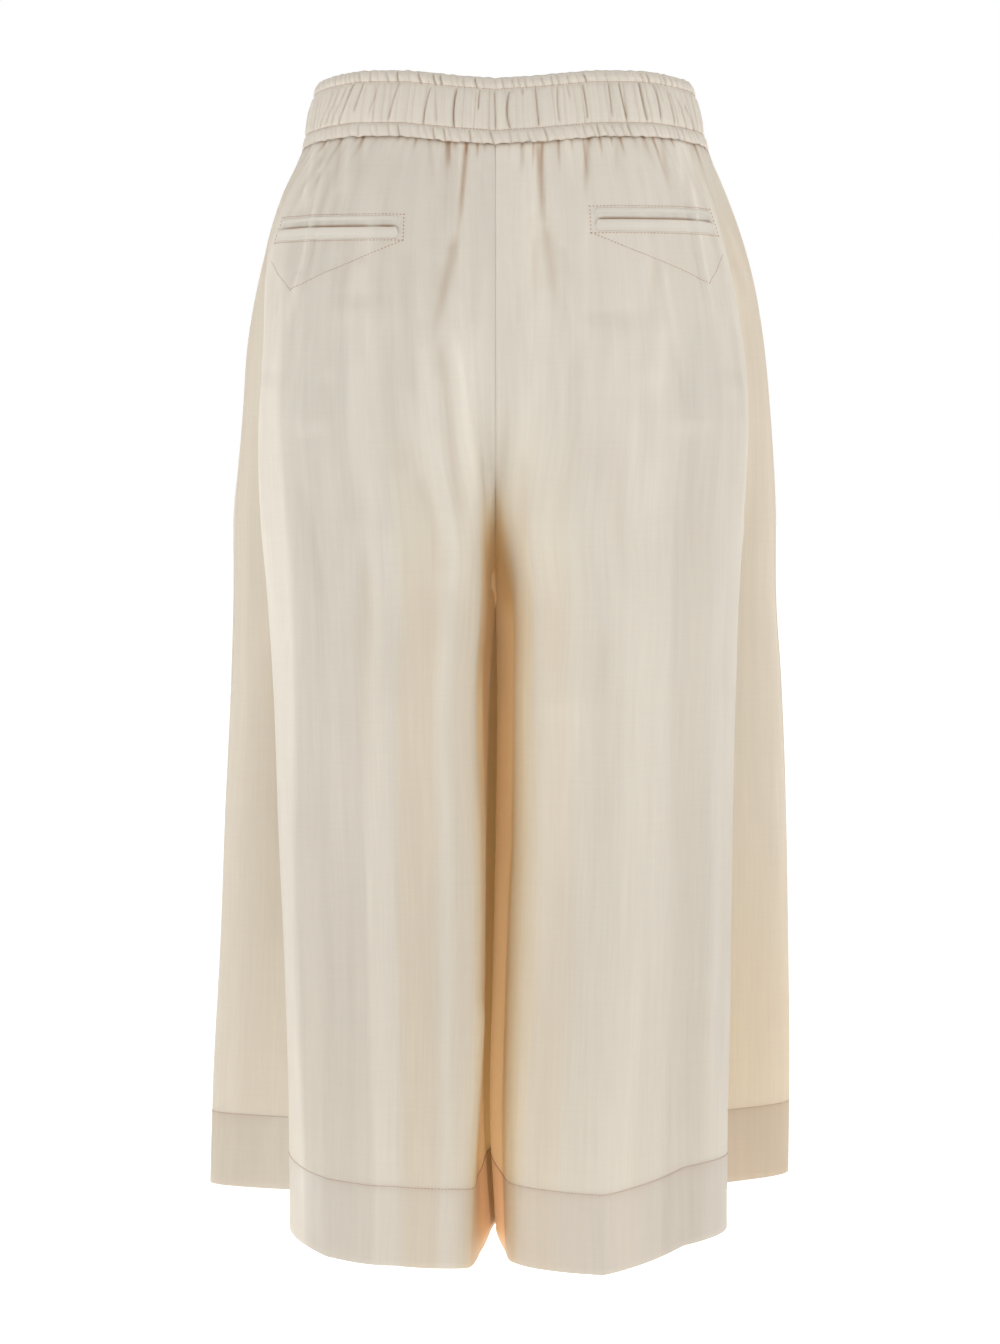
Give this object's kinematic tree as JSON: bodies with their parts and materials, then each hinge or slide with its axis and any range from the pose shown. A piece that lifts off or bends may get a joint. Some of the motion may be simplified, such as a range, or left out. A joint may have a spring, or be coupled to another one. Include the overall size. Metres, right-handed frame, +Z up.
{
  "type": "bermuda shorts",
  "caption": "Wide below-knee bermuda shorts in light cream cloth with a gathered elastic waist, welt pockets at the back and deep turned-up hems.",
  "frame": {"origin": "centre of the waist opening, level with the band's top edge at the sides", "axes": "+Z up, the back of the shorts towards +Y, the front towards -Y, the wearer's left towards +X"},
  "size_m": [0.4151, 0.2775, 0.7985],
  "materials": {
    "leg_cloth": "soft light cream woven cloth with a fine upright slub and a faint lustre",
    "band_cloth": "the same cloth, gathered on elastic",
    "welt_cloth": "the same cloth, folded and pressed"
  },
  "bodies": {
    "root": {"waistband": "band_cloth", "back_left": "leg_cloth", "back_right": "leg_cloth", "front_left": "leg_cloth", "front_right": "leg_cloth", "pocket_left_upper_welt": "welt_cloth", "pocket_left_lower_welt": "welt_cloth", "pocket_right_upper_welt": "welt_cloth", "pocket_right_lower_welt": "welt_cloth"}
  },
  "joints": []
}
